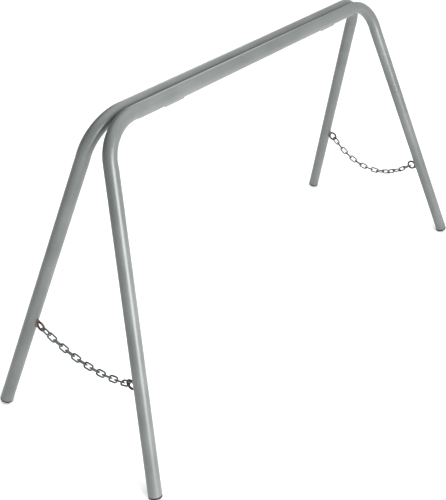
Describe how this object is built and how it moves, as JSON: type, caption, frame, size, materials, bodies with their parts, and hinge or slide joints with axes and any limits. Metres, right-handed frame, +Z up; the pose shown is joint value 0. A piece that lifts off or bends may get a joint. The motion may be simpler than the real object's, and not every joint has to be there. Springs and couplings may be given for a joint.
{
  "type": "folding sawhorse",
  "caption": "Folding trestle of two bent steel-tube frames, hinged under their top rails, with a link chain across each end that limits the spread.",
  "frame": {"origin": "on the floor, midway between the four feet", "axes": "+X along the top rails to the right, +Y to the rear frame, +Z up"},
  "size_m": [1.3936, 0.5324, 0.7716],
  "materials": {
    "frame_paint": "semi-gloss grey enamel",
    "hinge_paint": "semi-gloss grey enamel",
    "foot_plastic": "matt black",
    "eye_steel": "dark bar with a burnt weld",
    "chain_steel": "dulled zinc",
    "pin_steel": "bright turned steel"
  },
  "bodies": {
    "front": {"front_frame": "frame_paint", "front_left_foot_plug": "foot_plastic", "front_right_foot_plug": "foot_plastic", "front_left_chain_eye": "eye_steel", "front_right_chain_eye": "eye_steel", "left_hinge_front_leaf": "hinge_paint", "right_hinge_front_leaf": "hinge_paint", "left_hinge_pin": "pin_steel", "right_hinge_pin": "pin_steel"},
    "rear": {"rear_frame": "frame_paint", "rear_left_foot_plug": "foot_plastic", "rear_right_foot_plug": "foot_plastic", "rear_left_chain_eye": "eye_steel", "rear_right_chain_eye": "eye_steel", "left_hinge_rear_leaf": "hinge_paint", "right_hinge_rear_leaf": "hinge_paint"},
    "left_link_01": {"left_chain_link_01": "chain_steel"},
    "left_link_02": {"left_chain_link_02": "chain_steel"},
    "left_link_03": {"left_chain_link_03": "chain_steel"},
    "left_link_04": {"left_chain_link_04": "chain_steel"},
    "left_link_05": {"left_chain_link_05": "chain_steel"},
    "left_link_06": {"left_chain_link_06": "chain_steel"},
    "left_link_07": {"left_chain_link_07": "chain_steel"},
    "left_link_08": {"left_chain_link_08": "chain_steel"},
    "left_link_09": {"left_chain_link_09": "chain_steel"},
    "left_link_10": {"left_chain_link_10": "chain_steel"},
    "left_link_11": {"left_chain_link_11": "chain_steel"},
    "left_link_12": {"left_chain_link_12": "chain_steel"},
    "left_link_13": {"left_chain_link_13": "chain_steel"},
    "left_link_14": {"left_chain_link_14": "chain_steel"},
    "right_link_01": {"right_chain_link_01": "chain_steel"},
    "right_link_02": {"right_chain_link_02": "chain_steel"},
    "right_link_03": {"right_chain_link_03": "chain_steel"},
    "right_link_04": {"right_chain_link_04": "chain_steel"},
    "right_link_05": {"right_chain_link_05": "chain_steel"},
    "right_link_06": {"right_chain_link_06": "chain_steel"},
    "right_link_07": {"right_chain_link_07": "chain_steel"},
    "right_link_08": {"right_chain_link_08": "chain_steel"},
    "right_link_09": {"right_chain_link_09": "chain_steel"},
    "right_link_10": {"right_chain_link_10": "chain_steel"},
    "right_link_11": {"right_chain_link_11": "chain_steel"},
    "right_link_12": {"right_chain_link_12": "chain_steel"},
    "right_link_13": {"right_chain_link_13": "chain_steel"},
    "right_link_14": {"right_chain_link_14": "chain_steel"},
    "right_link_15": {"right_chain_link_15": "chain_steel"}
  },
  "joints": [
    {"name": "frame_fold", "type": "hinge", "parent": "front", "child": "rear", "pos_m": [0, 0, 0.74142], "axis": [-1, 0, 0], "range_deg": [0, 29.5], "deforming": ["left_chain_link_08", "left_chain_link_09", "right_chain_link_08", "right_chain_link_09"]},
    {"name": "left_link_01_swing", "type": "hinge", "parent": "rear", "child": "left_link_01", "pos_m": [-0.62096, 0.14369, 0.24743], "axis": [-1, 0, 0], "range_deg": [-81, 0]},
    {"name": "left_link_02_swing", "type": "hinge", "parent": "left_link_01", "child": "left_link_02", "pos_m": [-0.62119, 0.11705, 0.2362], "axis": [-1, 0, 0], "range_deg": [-4, 0]},
    {"name": "left_link_03_swing", "type": "hinge", "parent": "left_link_02", "child": "left_link_03", "pos_m": [-0.62143, 0.09807, 0.22929], "axis": [-1, 0, 0], "range_deg": [-4, 0]},
    {"name": "left_link_04_swing", "type": "hinge", "parent": "left_link_03", "child": "left_link_04", "pos_m": [-0.62166, 0.07877, 0.22335], "axis": [-1, 0, 0], "range_deg": [-4, 0]},
    {"name": "left_link_05_swing", "type": "hinge", "parent": "left_link_04", "child": "left_link_05", "pos_m": [-0.62189, 0.05917, 0.21844], "axis": [-1, 0, 0], "range_deg": [-4, 0]},
    {"name": "left_link_06_swing", "type": "hinge", "parent": "left_link_05", "child": "left_link_06", "pos_m": [-0.62213, 0.03934, 0.21459], "axis": [-1, 0, 0], "range_deg": [-4, 0]},
    {"name": "left_link_07_swing", "type": "hinge", "parent": "left_link_06", "child": "left_link_07", "pos_m": [-0.62236, 0.01933, 0.21185], "axis": [-1, 0, 0], "range_deg": [-4, 0]},
    {"name": "left_link_14_swing", "type": "hinge", "parent": "front", "child": "left_link_14", "pos_m": [-0.62399, -0.14817, 0.23311], "axis": [-1, 0, 0], "range_deg": [0, 87]},
    {"name": "left_link_13_swing", "type": "hinge", "parent": "left_link_14", "child": "left_link_13", "pos_m": [-0.62376, -0.12063, 0.22436], "axis": [-1, 0, 0], "range_deg": [0, 4]},
    {"name": "left_link_12_swing", "type": "hinge", "parent": "left_link_13", "child": "left_link_12", "pos_m": [-0.62352, -0.10108, 0.21925], "axis": [-1, 0, 0], "range_deg": [0, 4]},
    {"name": "left_link_11_swing", "type": "hinge", "parent": "left_link_12", "child": "left_link_11", "pos_m": [-0.62329, -0.08129, 0.21521], "axis": [-1, 0, 0], "range_deg": [0, 4]},
    {"name": "left_link_10_swing", "type": "hinge", "parent": "left_link_11", "child": "left_link_10", "pos_m": [-0.62306, -0.06131, 0.21227], "axis": [-1, 0, 0], "range_deg": [0, 4]},
    {"name": "left_link_09_swing", "type": "hinge", "parent": "left_link_10", "child": "left_link_09", "pos_m": [-0.62282, -0.04119, 0.21045], "axis": [-1, 0, 0], "range_deg": [0, 4]},
    {"name": "left_link_08_swing", "type": "hinge", "parent": "left_link_09", "child": "left_link_08", "pos_m": [-0.62259, -0.021, 0.20977], "axis": [-1, 0, 0], "range_deg": [-71, 0]},
    {"name": "right_link_01_swing", "type": "hinge", "parent": "rear", "child": "right_link_01", "pos_m": [0.62094, 0.14369, 0.24743], "axis": [-1, 0, 0], "range_deg": [-65, 0]},
    {"name": "right_link_02_swing", "type": "hinge", "parent": "right_link_01", "child": "right_link_02", "pos_m": [0.62116, 0.12238, 0.22739], "axis": [-1, 0, 0], "range_deg": [-5, 0]},
    {"name": "right_link_03_swing", "type": "hinge", "parent": "right_link_02", "child": "right_link_03", "pos_m": [0.62138, 0.10617, 0.21419], "axis": [-1, 0, 0], "range_deg": [-6, 0]},
    {"name": "right_link_04_swing", "type": "hinge", "parent": "right_link_03", "child": "right_link_04", "pos_m": [0.6216, 0.08896, 0.20233], "axis": [-1, 0, 0], "range_deg": [-6, 0]},
    {"name": "right_link_05_swing", "type": "hinge", "parent": "right_link_04", "child": "right_link_05", "pos_m": [0.62182, 0.07075, 0.19207], "axis": [-1, 0, 0], "range_deg": [-7, 0]},
    {"name": "right_link_06_swing", "type": "hinge", "parent": "right_link_05", "child": "right_link_06", "pos_m": [0.62204, 0.05161, 0.18369], "axis": [-1, 0, 0], "range_deg": [-7, 0]},
    {"name": "right_link_07_swing", "type": "hinge", "parent": "right_link_06", "child": "right_link_07", "pos_m": [0.62226, 0.03166, 0.17746], "axis": [-1, 0, 0], "range_deg": [-8, 0]},
    {"name": "right_link_08_swing", "type": "hinge", "parent": "right_link_07", "child": "right_link_08", "pos_m": [0.62248, 0.01111, 0.17363], "axis": [-1, 0, 0], "range_deg": [0, 69]},
    {"name": "right_link_15_swing", "type": "hinge", "parent": "front", "child": "right_link_15", "pos_m": [0.62401, -0.14817, 0.23311], "axis": [-1, 0, 0], "range_deg": [0, 68]},
    {"name": "right_link_14_swing", "type": "hinge", "parent": "right_link_15", "child": "right_link_14", "pos_m": [0.62379, -0.12554, 0.21458], "axis": [-1, 0, 0], "range_deg": [0, 6]},
    {"name": "right_link_13_swing", "type": "hinge", "parent": "right_link_14", "child": "right_link_13", "pos_m": [0.62357, -0.10836, 0.20268], "axis": [-1, 0, 0], "range_deg": [0, 6]},
    {"name": "right_link_12_swing", "type": "hinge", "parent": "right_link_13", "child": "right_link_12", "pos_m": [0.62335, -0.09018, 0.19237], "axis": [-1, 0, 0], "range_deg": [0, 7]},
    {"name": "right_link_11_swing", "type": "hinge", "parent": "right_link_12", "child": "right_link_11", "pos_m": [0.62313, -0.07106, 0.18392], "axis": [-1, 0, 0], "range_deg": [0, 7]},
    {"name": "right_link_10_swing", "type": "hinge", "parent": "right_link_11", "child": "right_link_10", "pos_m": [0.62291, -0.05114, 0.17762], "axis": [-1, 0, 0], "range_deg": [0, 8]},
    {"name": "right_link_09_swing", "type": "hinge", "parent": "right_link_10", "child": "right_link_09", "pos_m": [0.62269, -0.03061, 0.17371], "axis": [-1, 0, 0], "range_deg": [-51, 0]}
  ],
  "couplings": [
    {"joint": "left_link_01_swing", "follows": "frame_fold", "ratio": -2.7241},
    {"joint": "left_link_02_swing", "follows": "frame_fold", "ratio": -0.09567},
    {"joint": "left_link_03_swing", "follows": "frame_fold", "ratio": -0.09923},
    {"joint": "left_link_04_swing", "follows": "frame_fold", "ratio": -0.10244},
    {"joint": "left_link_05_swing", "follows": "frame_fold", "ratio": -0.10522},
    {"joint": "left_link_06_swing", "follows": "frame_fold", "ratio": -0.10748},
    {"joint": "left_link_07_swing", "follows": "frame_fold", "ratio": -0.10913},
    {"joint": "left_link_14_swing", "follows": "frame_fold", "ratio": 2.9007},
    {"joint": "left_link_13_swing", "follows": "frame_fold", "ratio": 0.10189},
    {"joint": "left_link_12_swing", "follows": "frame_fold", "ratio": 0.10475},
    {"joint": "left_link_11_swing", "follows": "frame_fold", "ratio": 0.10711},
    {"joint": "left_link_10_swing", "follows": "frame_fold", "ratio": 0.10888},
    {"joint": "left_link_09_swing", "follows": "frame_fold", "ratio": 0.10999},
    {"joint": "left_link_08_swing", "follows": "frame_fold", "ratio": -2.3816},
    {"joint": "right_link_01_swing", "follows": "frame_fold", "ratio": -2.1529},
    {"joint": "right_link_02_swing", "follows": "frame_fold", "ratio": -0.13794},
    {"joint": "right_link_03_swing", "follows": "frame_fold", "ratio": -0.15596},
    {"joint": "right_link_04_swing", "follows": "frame_fold", "ratio": -0.17531},
    {"joint": "right_link_05_swing", "follows": "frame_fold", "ratio": -0.19509},
    {"joint": "right_link_06_swing", "follows": "frame_fold", "ratio": -0.21383},
    {"joint": "right_link_07_swing", "follows": "frame_fold", "ratio": -0.22954},
    {"joint": "right_link_08_swing", "follows": "frame_fold", "ratio": 2.3048},
    {"joint": "right_link_15_swing", "follows": "frame_fold", "ratio": 2.2862},
    {"joint": "right_link_14_swing", "follows": "frame_fold", "ratio": 0.15536},
    {"joint": "right_link_13_swing", "follows": "frame_fold", "ratio": 0.17469},
    {"joint": "right_link_12_swing", "follows": "frame_fold", "ratio": 0.19448},
    {"joint": "right_link_11_swing", "follows": "frame_fold", "ratio": 0.21327},
    {"joint": "right_link_10_swing", "follows": "frame_fold", "ratio": 0.22911},
    {"joint": "right_link_09_swing", "follows": "frame_fold", "ratio": -1.6924}
  ]
}
